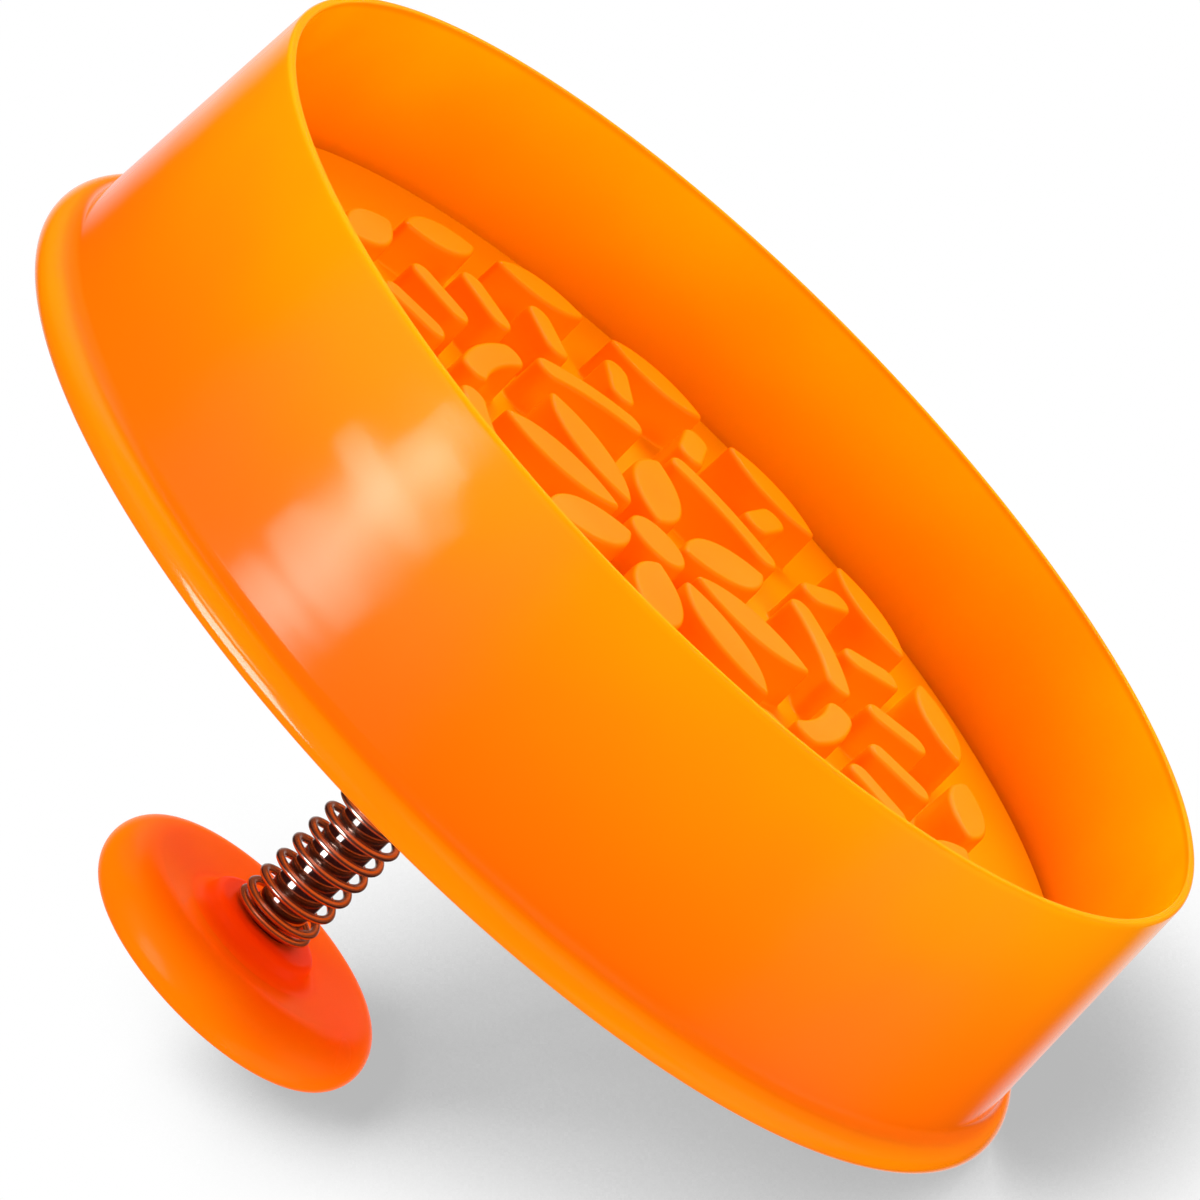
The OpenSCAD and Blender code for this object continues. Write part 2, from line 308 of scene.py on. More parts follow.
def new_object(name, bm):
    """Object in the scene from a bmesh, which is used up."""
    mesh = bpy.data.meshes.new(name)
    bm.to_mesh(mesh)
    bm.free()
    made = bpy.data.objects.new(name, mesh)
    bpy.context.scene.collection.objects.link(made)
    return made


def new_piece(name, bm, material, body, node):
    """Object from a bmesh, shaded smooth, riding on a body and standing for its CAD node."""
    bmesh.ops.recalc_face_normals(bm, faces=bm.faces)
    piece = new_object(name, bm)
    piece.data.shade_smooth()
    piece.data.materials.append(material)
    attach(piece, body)
    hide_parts(node)
    return piece


def turn(bm, path, closed, steps):
    """Adds the skin that a path of (r, z) points sweeps about Z. Points on the axis become poles."""
    angles = [2 * pi * k / steps for k in range(steps)]
    rings = []
    for r, z in path:
        spots = [(r * cos(a), r * sin(a), z) for a in angles] if r else [(0.0, 0.0, z)]
        rings.append([bm.verts.new(spot) for spot in spots])
    for low, high in zip(rings, rings[1:]):
        join_rings(bm, low, high)
    if closed:
        join_rings(bm, rings[-1], rings[0])
    return rings


def join_rings(bm, low, high):
    """Faces between two rings, or between a ring and a pole."""
    steps = max(len(low), len(high))
    for k in range(steps):
        n = (k + 1) % steps
        if len(low) == 1:
            bm.faces.new((low[0], high[n], high[k]))
        elif len(high) == 1:
            bm.faces.new((low[k], low[n], high[0]))
        else:
            bm.faces.new((low[k], low[n], high[n], high[k]))


def ring_edges(bm, ring):
    """Edges along a ring of vertices."""
    return [bm.edges.get(ends) for ends in zip(ring, ring[1:] + ring[:1])]


class ShaderTree:
    """Nodes and links of a material, a group or a world, with short ways to add to them."""

    def __init__(self, tree):
        self.nodes, self.links = tree.nodes, tree.links

    def feed(self, socket, value):
        """Links a socket to another one, or sets its value. Colours are given without alpha."""
        if isinstance(value, NodeSocket):
            self.links.new(value, socket)
        else:
            socket.default_value = (*value, 1.0) if socket.type == "RGBA" else value

    def add(self, kind, *values, **options):
        """New shader node with its options set and its first inputs fed."""
        node = self.nodes.new("ShaderNode" + kind)
        for name, value in options.items():
            setattr(node, name, value)
        for socket, value in zip(node.inputs, values):
            self.feed(socket, value)
        return node

    def add_fed(self, kind, inputs, **options):
        """New shader node with its options set and its inputs fed by name."""
        node = self.add(kind, **options)
        for label, value in inputs.items():
            self.feed(node.inputs[label], value)
        return node

    def coords(self, output):
        """Output of a Texture Coordinate node."""
        return self.add("TexCoord").outputs[output]

    def calc(self, operation, *values):
        """Math node on sockets or numbers."""
        return self.add("Math", *values, operation=operation).outputs["Value"]

    def vector(self, operation, *values):
        """Vector Math node on sockets or vectors."""
        node = self.add("VectorMath", *values, operation=operation)
        return node.outputs["Value" if operation in {"LENGTH", "DOT_PRODUCT"} else "Vector"]

    def ranged(self, value, low, high, to_low=0.0, to_high=1.0, smooth=False):
        """Value mapped from one range to another and clamped."""
        curve = "SMOOTHSTEP" if smooth else "LINEAR"
        node = self.add("MapRange", value, low, high, to_low, to_high, interpolation_type=curve)
        return node.outputs["Result"]

    def blend(self, factor, first, second):
        """Colour between two sockets or colours."""
        inputs = {"Factor": factor, "A": first, "B": second}
        return self.add_fed("Mix", inputs, data_type="RGBA").outputs["Result"]

    def noise(self, vector, scale, detail):
        """Noise texture on a vector."""
        inputs = {"Vector": vector, "Scale": scale, "Detail": detail}
        return self.add_fed("TexNoise", inputs).outputs["Fac"]

    def place(self, group, **values):
        """Shared group with its own values. Underscores stand for spaces."""
        inputs = {label.replace("_", " "): value for label, value in values.items()}
        return self.add_fed("Group", inputs, node_tree=group)

    def height_mask(self, start, end):
        """Mask that runs from 0 to 1 between two heights over the cutting edge."""
        return self.place(height_fade_group(), From=start, To=end).outputs["Mask"]

    def axis_mask(self, near, far):
        """Mask that runs from 0 to 1 between two distances from the plunger's axis."""
        flat = self.vector("MULTIPLY", self.coords("Object"), (1, 1, 0))
        return self.ranged(self.vector("LENGTH", flat), near, far, smooth=True)


# Kinds of group sockets, the default colour, and the outputs that a skin has
FLOAT, COLOUR, VECTOR = "NodeSocketFloat", "NodeSocketColor", "NodeSocketVector"
WHITE = (1, 1, 1, 1)
SKIN = (("Colour", COLOUR), ("Roughness", FLOAT), ("Height", FLOAT))


def shared_group(name, inputs, outputs, fill):
    """Shader group with named sockets, made and filled on first use. Inputs are (name, kind, default)."""
    group = bpy.data.node_groups.get(name)
    if group is None:
        group = bpy.data.node_groups.new(name, "ShaderNodeTree")
        for label, kind, default in inputs:
            socket = group.interface.new_socket(name=label, in_out="INPUT", socket_type=kind)
            socket.default_value = default
        for label, kind in outputs:
            group.interface.new_socket(name=label, in_out="OUTPUT", socket_type=kind)
        given = group.nodes.new("NodeGroupInput").outputs
        made = group.nodes.new("NodeGroupOutput").inputs
        fill(ShaderTree(group), given, made)
    return group


def moulded_skin_group():
    """Skin of a moulding: slow flow marks, a faint ripple and fine grain."""

    def fill(tree, given, made):
        spot = tree.coords("Object")
        flow = tree.ranged(tree.noise(spot, scale=55.0, detail=2.0), low=0.35, high=0.7, smooth=True)
        ripple = tree.noise(tree.vector("MULTIPLY", spot, (70, 70, 190)), scale=1.0, detail=1.0)
        grain = tree.noise(spot, scale=2600.0, detail=2.0)
        marks = tree.calc("MULTIPLY", flow, given["Flow Amount"])
        tree.feed(made["Colour"], tree.blend(marks, given["Colour"], given["Flow Colour"]))
        spread = tree.calc("MULTIPLY", tree.calc("SUBTRACT", flow, 0.5), given["Gloss Spread"])
        tree.feed(made["Roughness"], tree.calc("ADD", given["Gloss"], spread))
        waves = tree.calc("MULTIPLY", ripple, given["Ripple"])
        grains = tree.calc("MULTIPLY", grain, given["Grain"])
        tree.feed(made["Height"], tree.calc("ADD", waves, grains))

    inputs = (
        ("Colour", COLOUR, WHITE),
        ("Flow Colour", COLOUR, WHITE),
        ("Flow Amount", FLOAT, 0.5),
        ("Gloss", FLOAT, 0.2),
        ("Gloss Spread", FLOAT, 0.08),
        ("Ripple", FLOAT, 1.0),
        ("Grain", FLOAT, 0.1),
    )
    return shared_group("Moulded Skin", inputs, SKIN, fill)


def height_fade_group():
    """Mask that runs from 0 to 1 between two heights over the cutting edge."""

    def fill(tree, given, made):
        height = tree.add("SeparateXYZ", tree.coords("Object")).outputs["Z"]
        tree.feed(made["Mask"], tree.ranged(height, given["From"], given["To"], smooth=True))

    inputs = (("From", FLOAT, 0.0), ("To", FLOAT, 0.01))
    return shared_group("Height Fade", inputs, (("Mask", FLOAT),), fill)


def drawn_lines_group():
    """Fine lines of drawn steel, along the short axis of a stretched vector."""

    def fill(tree, given, made):
        lines = tree.noise(given["Vector"], scale=1.0, detail=3.0)
        mask = tree.ranged(lines, low=0.4, high=0.75)
        tree.feed(made["Colour"], tree.blend(mask, given["Colour"], given["Line Colour"]))
        spread = tree.calc("MULTIPLY", lines, given["Gloss Spread"])
        tree.feed(made["Roughness"], tree.calc("ADD", given["Gloss"], spread))
        tree.feed(made["Height"], lines)

    inputs = (
        ("Vector", VECTOR, (0, 0, 0)),
        ("Colour", COLOUR, WHITE),
        ("Line Colour", COLOUR, WHITE),
        ("Gloss", FLOAT, 0.2),
        ("Gloss Spread", FLOAT, 0.1),
    )
    return shared_group("Drawn Lines", inputs, SKIN, fill)


def new_material(name):
    """New material, its tree and its Principled shader."""
    material = bpy.data.materials.new(name)
    material.use_nodes = True
    tree = ShaderTree(material.node_tree)
    return material, tree, tree.nodes["Principled BSDF"]


def dress(tree, shader, skin, depth):
    """Feeds a shader from a placed skin, whose height becomes a bump of some depth."""
    bump = tree.add_fed("Bump", {"Height": skin.outputs["Height"], "Distance": depth})
    tree.feed(shader.inputs["Base Color"], skin.outputs["Colour"])
    tree.feed(shader.inputs["Roughness"], skin.outputs["Roughness"])
    tree.feed(shader.inputs["Normal"], bump.outputs["Normal"])


def shell_plastic(s):
    """Glossy orange plastic, satin on the deck. Painted glow makes it lighter where the wall thins out to
    the cutting edge, on the inside of the wall, along the cutting edge and along the flange.
    """
    material, tree, shader = new_material("Cutter plastic")
    rim, wall = s.rim_radius, s.rim_radius + s.wall_lean
    back = SHELL_HIGH.z - s.cup_height
    # Painted glow: the outside turns lighter towards the cutting edge, standing in for light through the
    # thinning wall.
    thin = tree.height_mask(start=19 * MM, end=-4 * MM)
    outside = tree.blend(thin, s.deep_colour, s.thin_glow_colour)
    # Painted glow: the inside of the wall turns lighter towards the cutting edge.
    thin_inside = tree.height_mask(start=17 * MM, end=-1 * MM)
    inside = tree.blend(thin_inside, s.deep_colour, s.inner_glow_colour)
    side = tree.axis_mask(near=rim - 0.35 * MM, far=rim - 0.05 * MM)
    # Painted glow: a lighter line along the cutting edge.
    edge = tree.height_mask(start=0.6 * MM, end=0.1 * MM)
    body = tree.blend(edge, tree.blend(side, inside, outside), s.edge_glow_colour)
    # Painted glow: the flange is painted lighter than the wall.
    flange = tree.axis_mask(near=wall + 0.2 * MM, far=wall + 1.0 * MM)
    deck = tree.height_mask(start=back - 0.5 * MM, end=back - 0.05 * MM)
    skin = tree.place(
        moulded_skin_group(),
        Colour=tree.blend(flange, body, s.flange_glow_colour),
        Flow_Colour=s.deep_colour,
        Flow_Amount=0.25,
        Gloss=tree.ranged(deck, 0.0, 1.0, s.wall_gloss, s.deck_gloss),
        Gloss_Spread=0.05,
        Ripple=1.0,
        Grain=0.02,
    )
    dress(tree, shader, skin, depth=0.12 * MM)
    tree.feed(shader.inputs["Specular IOR Level"], 0.45)
    return material


def plate_plastic(s, face):
    """Semi-gloss orange plastic, with painted shade that makes it deeper in colour towards the crests of the
    pattern.
    """
    material, tree, shader = new_material("Plate plastic")
    # Painted shade: the pattern turns darker towards its crests, which the lamps light more strongly than
    # the face.
    crest = tree.height_mask(start=face, end=face - s.relief_height)
    skin = tree.place(
        moulded_skin_group(),
        Colour=tree.blend(crest, s.face_colour, s.crest_shade_colour),
        Flow_Colour=s.face_colour,
        Flow_Amount=0.3,
        Gloss=0.22,
        Gloss_Spread=0.08,
        Ripple=0.6,
        Grain=0.05,
    )
    dress(tree, shader, skin, depth=0.05 * MM)
    tree.feed(shader.inputs["Specular IOR Level"], 0.1)
    return material


def knob_plastic(s, face):
    """Red-orange plastic with a softer gloss, with painted shade that makes it darker and redder on the boss
    and round its foot.
    """
    material, tree, shader = new_material("Knob plastic")
    # Painted shade: the boss and its foot take the darker, redder orange.
    away = tree.axis_mask(near=s.seat_radius * 0.9, far=s.seat_radius * 1.35)
    body = tree.calc("MAXIMUM", away, tree.height_mask(start=face, end=face + s.edge_radius))
    skin = tree.place(
        moulded_skin_group(),
        Colour=tree.blend(body, s.boss_shade_and_flow_colour, s.body_colour),
        Flow_Colour=s.boss_shade_and_flow_colour,
        Flow_Amount=0.5,
        Gloss=0.24,
        Gloss_Spread=0.08,
        Ripple=0.1,
        Grain=0.04,
    )
    dress(tree, shader, skin, depth=0.05 * MM)
    tree.feed(shader.inputs["Specular IOR Level"], 0.03)
    return material


def steel(name, base, output, stretch, gloss, spread, depth):
    """Drawn steel, with darker lines along a texture coordinate that is stretched on each axis."""
    line_shade = 0.72
    material, tree, shader = new_material(name)
    lines = tree.place(
        drawn_lines_group(),
        Vector=tree.vector("MULTIPLY", tree.coords(output), stretch),
        Colour=base,
        Line_Colour=[line_shade * c for c in base],
        Gloss=gloss,
        Gloss_Spread=spread,
    )
    dress(tree, shader, lines, depth)
    tree.feed(shader.inputs["Metallic"], 1.0)
    return material


class CUTTER_OT_shell(Operator):
    """Build the cutting ring with its flange, deck, guide hub and cup rim"""

    bl_idname = "cutter.shell"
    bl_label = "Cutter shell"

    def execute(self, context):
        s = context.scene.cutter_shell
        foot, top = SHELL_LOW.z, SHELL_HIGH.z
        back = top - s.cup_height
        front = back - s.deck_width
        hub_end = front - s.hub_length
        half = s.flange_width / 2
        edge = (SHELL_HIGH.x - half, back - half)
        wall = s.rim_radius + s.wall_lean
        fillet_r = wall + s.flange_fillet
        reach = s.flange_fillet + half
        fillet = (fillet_r, edge[1] - sqrt(reach**2 - (fillet_r - edge[0]) ** 2))
        lean = degrees(atan2(s.wall_lean, fillet[1] - foot))
        meet = degrees(atan2(fillet[1] - edge[1], fillet[0] - edge[0]))
        cup_out = s.cup_radius + s.cup_width
        outside = arc(fillet, s.flange_fillet, 180 - lean, 180 + meet, step=6)
        outside += arc(edge, half, meet, 90, step=6)[1:]
        # Guard points keep wall and deck flat: a share of the wall's height, a length on the deck
        wall_guard, deck_guard = 0.95, 0.4 * MM
        corners = [
            (s.rim_radius - s.edge_width, foot, s.edge_inner_round),
            (s.rim_radius, foot, s.edge_round),
            (s.rim_radius + wall_guard * s.wall_lean, foot + wall_guard * (outside[0][1] - foot)),
            *outside,
            (edge[0] - deck_guard, back),
            (cup_out, back, s.cup_fillet),
            (cup_out, top, s.cup_round),
            (s.cup_radius, top, s.cup_round),
            (s.cup_radius, back, s.cup_inner_fillet),
            (s.guide_radius, back, s.guide_round),
            (s.guide_radius, hub_end, s.guide_end_round),
            (s.hub_radius, hub_end, s.hub_round),
            (s.hub_radius, front, s.hub_fillet),
            (wall - s.wall_width, front, s.deck_fillet),
        ]
        bm = bmesh.new()
        turn(bm, rounded(corners), closed=True, steps=288)
        new_piece("cutter_shell_moulding", bm, shell_plastic(s), "shell", "cutter_shell")
        return {"FINISHED"}


def edge_points(centre, radius, start, end, pieces):
    """Points of an arc with their outward directions. A negative radius is a hollow arc."""
    points = []
    for i in range(pieces + 1):
        a = radians(start + (end - start) * i / pieces)
        away = Vector((cos(a), sin(a)))
        points.append((Vector(centre) + away * abs(radius), away * copysign(1, radius)))
    return points


def leaf_outline(long, wide, tip):
    """Leaf along X with round tips."""
    side = (long * long + wide * wide) / (4 * wide)
    sink = side - wide / 2
    tip_x = sqrt((side - tip) ** 2 - sink**2)
    slope = degrees(atan2(sink, tip_x))
    right = edge_points((tip_x, 0.0), tip, -slope, slope, pieces=5)
    top = edge_points((0.0, -sink), side, slope, 180 - slope, pieces=14)[1:-1]
    left = edge_points((-tip_x, 0.0), tip, 180 - slope, 180 + slope, pieces=5)
    low = edge_points((0.0, sink), side, 180 + slope, 360 - slope, pieces=14)[1:-1]
    return right + top + left + low


def stroke_outline(long, wide):
    """Straight stroke along X with round ends."""
    end = (long - wide) / 2
    right = edge_points((end, 0.0), wide / 2, -90, 90, pieces=12)
    return right + edge_points((-end, 0.0), wide / 2, 90, 270, pieces=12)


def arc_outline(radius, span, wide):
    """Stroke with round ends that follows a circle about the origin."""
    half = degrees(span) / 2
    low, high = ((radius * cos(a), radius * sin(a)) for a in (-span / 2, span / 2))
    outer = edge_points((0.0, 0.0), radius + wide / 2, -half, half, pieces=16)[:-1]
    cap = edge_points(high, wide / 2, half, half + 180, pieces=12)[:-1]
    inner = edge_points((0.0, 0.0), -(radius - wide / 2), half, -half, pieces=16)[:-1]
    start = edge_points(low, wide / 2, 180 - half, 360 - half, pieces=12)[:-1]
    return outer + cap + inner + start


def set_round(outline, copies, radius, turned_by=0.0, offset=0.0):
    """Copies of an outline set round a circle, each turned in its own place first."""
    own = Matrix.Rotation(turned_by, 2)
    out = Vector((radius, 0.0))
    for i in range(copies):
        spin = Matrix.Rotation(2 * pi * i / copies + offset, 2)
        yield [(spin @ (own @ point + out), spin @ (own @ away)) for point, away in outline]


def rosette(s):
    """Outlines of the raised pattern, from the middle outwards. Points carry their outward direction."""
    petal_row = s.button_radius + s.row_gap / 2 + s.petal_length / 2
    arc_row = petal_row + s.petal_length / 2 + s.row_gap + s.stroke_width / 2
    spoke_row = arc_row + s.stroke_width / 2 + s.row_gap + s.spoke_length / 2
    leaf_row = spoke_row + s.spoke_length / 2 + s.row_gap + s.leaf_width / 2
    petal = leaf_outline(s.petal_length, s.petal_width, s.tip_radius)
    ring = arc_outline(arc_row, s.arc_angle, s.stroke_width)
    spoke = stroke_outline(s.spoke_length, s.stroke_width)
    leaf = leaf_outline(s.leaf_length, s.leaf_width, s.tip_radius)
    yield edge_points((0.0, 0.0), s.button_radius, 0, 360, pieces=40)[:-1]
    yield from set_round(petal, s.petals, petal_row)
    yield from set_round(ring, s.petals, 0.0, offset=pi / s.petals)
    yield from set_round(spoke, s.spokes, spoke_row)
    yield from set_round(leaf, s.leaves, leaf_row, turned_by=pi / 2)


def raise_motif(bm, outline, face, s):
    """Raises one outline off the plate, drafted and rounded. Returns the edges round its foot.
    Guard points at the foot, along the sides and on the top keep the flat runs flat."""
    foot_guard, side_guard, top_guard = 0.1 * MM, 0.15 * MM, 0.05 * MM
    low, high = s.foot_round, s.edge_round
    top, inset = s.relief_height - high, s.draft + high
    profile = [
        (low + foot_guard, 0.0),
        *arc((low, low), low, 270, 180, step=30),
        (-0.1 * s.draft, low + side_guard),
        (-0.9 * s.draft, top - side_guard),
        *arc((-inset, top), high, 0, 90, step=22.5),
        (-inset - top_guard, s.relief_height),
    ]
    rings = []
    for out, up in profile:
        rings.append([bm.verts.new((*(point + away * out), face - up)) for point, away in outline])
    for ring, above in zip(rings, rings[1:]):
        join_rings(bm, ring, above)
    bm.faces.new(rings[-1])
    return ring_edges(bm, rings[0])


class CUTTER_OT_stamp_plate(Operator):
    """Build the stamp plate with its raised rosette, boss and gussets"""

    bl_idname = "cutter.stamp_plate"
    bl_label = "Stamp plate"

    def execute(self, context):
        s = context.scene.cutter_plate
        face = PLATE_LOW.z + s.relief_height
        back = face + s.thickness
        rod, edge, top = ROD_HIGH.x, PLATE_HIGH.x, PLATE_HIGH.z
        corners = [
            (edge - 2 * s.rim_round, face),
            (edge, face, s.rim_round),
            (edge, back, s.rim_round),
            (s.boss_radius, back, s.boss_fillet),
            (s.boss_radius, top, s.boss_round),
            (rod, top, s.socket_round),
            (rod, ROD_LOW.z),
            (0.0, ROD_LOW.z),
        ]
        bm = bmesh.new()
        loops = ring_edges(bm, turn(bm, rounded(corners), closed=False, steps=240)[0])
        for outline in rosette(s):
            loops += raise_motif(bm, outline, face, s)
        bmesh.ops.triangle_fill(bm, use_beauty=True, use_dissolve=False, edges=loops, normal=(0, 0, -1))
        plastic = plate_plastic(s, face)
        piece = new_piece("stamp_plate_moulding", bm, plastic, "plunger", "stamp_plate")
        self.add_gussets(context, piece, s, back)
        return {"FINISHED"}

    def add_gussets(self, context, piece, s, back):
        """Unites thin wedges between the boss and the plate with the plate's back."""
        sunk, tip = 0.5 * MM, 0.05 * MM
        inner, outer = (s.boss_radius + ROD_HIGH.x) / 2, s.boss_radius + s.gusset_reach
        rise = s.gusset_height * (outer - inner) / s.gusset_reach
        side = [(inner, -sunk), (outer, -sunk), (outer, tip), (inner, rise)]
        half = s.gusset_width / 2
        bm = bmesh.new()
        for i in range(s.gussets):
            spin = Matrix.Rotation(2 * pi * i / s.gussets, 4, "Z")
            walls = []
            for y in (-half, half):
                walls.append([bm.verts.new(spin @ Vector((r, y, back + z))) for r, z in side])
            bm.faces.new(walls[0])
            bm.faces.new(reversed(walls[1]))
            join_rings(bm, walls[1], walls[0])
        bmesh.ops.recalc_face_normals(bm, faces=bm.faces)
        wedges = new_object("gussets", bm)
        joined = piece.modifiers.new("Gussets", "BOOLEAN")
        joined.operation = "UNION"
        joined.solver = "EXACT"
        joined.object = wedges
        context.view_layer.objects.active = piece
        bpy.ops.object.modifier_apply(modifier=joined.name)
        bpy.data.objects.remove(wedges)


class CUTTER_OT_plunger_rod(Operator):
    """Build the steel rod between the stamp plate and the knob"""

    bl_idname = "cutter.plunger_rod"
    bl_label = "Plunger rod"

    def execute(self, context):
        s = context.scene.cutter_rod
        radius, guard = ROD_HIGH.x, 1.5 * s.chamfer
        end = [(0.0, 0.0), (radius - s.chamfer, 0.0), (radius, s.chamfer), (radius, guard)]
        path = [(r, ROD_LOW.z + z) for r, z in end] + [(r, ROD_HIGH.z - z) for r, z in reversed(end)]
        bm = bmesh.new()
        turn(bm, path, closed=False, steps=96)
        stretch, depth = (5000, 5000, 60), 0.0005 * MM
        metal = steel("Rod steel", s.steel_colour, "Object", stretch, gloss=0.08, spread=0.06, depth=depth)
        new_piece("plunger_rod_steel", bm, metal, "plunger", "plunger_rod")
        return {"FINISHED"}


class CUTTER_OT_return_spring(Operator):
    """Wind the return spring, with closer end turns, on a body of its own"""

    bl_idname = "cutter.return_spring"
    bl_label = "Return spring"

    def execute(self, context):
        s = context.scene.cutter_spring
        bm = bmesh.new()
        self.wind(bm, s)
        stretch, depth = (1.5, 14.0, 1.0), 0.002 * MM
        metal = steel("Spring steel", s.steel_colour, "UV", stretch, gloss=0.17, spread=0.1, depth=depth)
        piece = new_piece("return_spring_coil", bm, metal, "spring", "return_spring")
        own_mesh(piece)
        return {"FINISHED"}

    def heights(self, s):
        """Heights along the coil from 0 to 1, with the pitch eased between closer and open turns."""
        rise = [0.0]
        for i in range(round(s.turns * COIL_STEPS)):
            here = (i + 0.5) / COIL_STEPS
            inside = min(here, s.turns - here) - s.close_turns
            ease = min(1.0, max(0.0, inside / s.ease_turns + 0.5))
            ease = ease * ease * (3 - 2 * ease)
            rise.append(rise[-1] + s.close_share + (1 - s.close_share) * ease)
        return [z / rise[-1] for z in rise]

    def middles(self, s):
        """Points along the middle of the wire."""
        low, high = SPRING_LOW.z + s.wire_radius, SPRING_HIGH.z - s.wire_radius
        points = []
        for i, part in enumerate(self.heights(s)):
            a = 2 * pi * i / COIL_STEPS
            x, y = s.coil_radius * cos(a), s.coil_radius * sin(a)
            points.append(Vector((x, y, low + (high - low) * part)))
        return points

    def wind(self, bm, s):
        """Wire along the coil, with rounded cut ends. Its UV map runs along and round the wire."""
        layer = bm.loops.layers.uv.new("Wire")
        middles = self.middles(s)
        last = len(middles) - 1
        corner = s.end_round * (1 - sqrt(0.5))
        cut = [(0.0, s.end_round), (corner, corner), (s.end_round, 0.0)]
        stations = [(0, inset, trim) for inset, trim in cut]
        stations += [(i, 0.0, 0.0) for i in range(1, last)]
        stations += [(last, -inset, trim) for inset, trim in reversed(cut)]
        rings = []
        for i, inset, trim in stations:
            along = (middles[min(i + 1, last)] - middles[max(i - 1, 0)]).normalized()
            up = Vector((middles[i].x, middles[i].y, 0)).cross(along).normalized()
            out = along.cross(up)
            ring = []
            for k in range(WIRE_SIDES):
                b = 2 * pi * k / WIRE_SIDES
                spoke = cos(b) * out + sin(b) * up
                ring.append(bm.verts.new(middles[i] + along * inset + spoke * (s.wire_radius - trim)))
            rings.append(ring)
        for n, (ring, ahead) in enumerate(zip(rings, rings[1:])):
            for k in range(WIRE_SIDES):
                m = (k + 1) % WIRE_SIDES
                face = bm.faces.new((ring[k], ring[m], ahead[m], ahead[k]))
                spots = ((n, k), (n, k + 1), (n + 1, k + 1), (n + 1, k))
                for loop, (step, side) in zip(face.loops, spots):
                    loop[layer].uv = (step / COIL_STEPS, side / WIRE_SIDES)
        bm.faces.new(rings[0])
        bm.faces.new(reversed(rings[-1]))


class CUTTER_OT_knob(Operator):
    """Build the mushroom knob with its boss and dished underside"""

    bl_idname = "cutter.knob"
    bl_label = "Knob"

    def execute(self, context):
        s = context.scene.cutter_knob
        low, top, rod = KNOB_LOW.z, KNOB_HIGH.z, ROD_HIGH.x
        face = low + s.seat_height
        crest = (KNOB_HIGH.x - s.edge_radius, face - s.dish_depth)
        edge = (crest[0], crest[1] + s.edge_radius)
        rise = top - edge[1]
        dome = (crest[0] ** 2 + rise**2 - s.edge_radius**2) / (2 * (rise - s.edge_radius))
        middle = top - dome
        slope = degrees(atan2(edge[1] - middle, crest[0]))
        fall = degrees(atan2(crest[1] - face, crest[0] - s.seat_radius))
        corners = [
            (0.0, ROD_HIGH.z),
            (rod, ROD_HIGH.z),
            (rod, low, s.socket_round),
            (s.seat_radius - s.seat_taper, low, s.seat_round),
            (s.seat_radius + s.seat_taper, face, s.seat_fillet),
            *arc(edge, s.edge_radius, fall - 90, slope, step=6),
            *arc((0.0, middle), dome, slope, 90, step=3)[1:-1],
            (0.0, top),
        ]
        bm = bmesh.new()
        turn(bm, rounded(corners), closed=False, steps=192)
        new_piece("knob_moulding", bm, knob_plastic(s, face), "plunger", "knob")
        return {"FINISHED"}


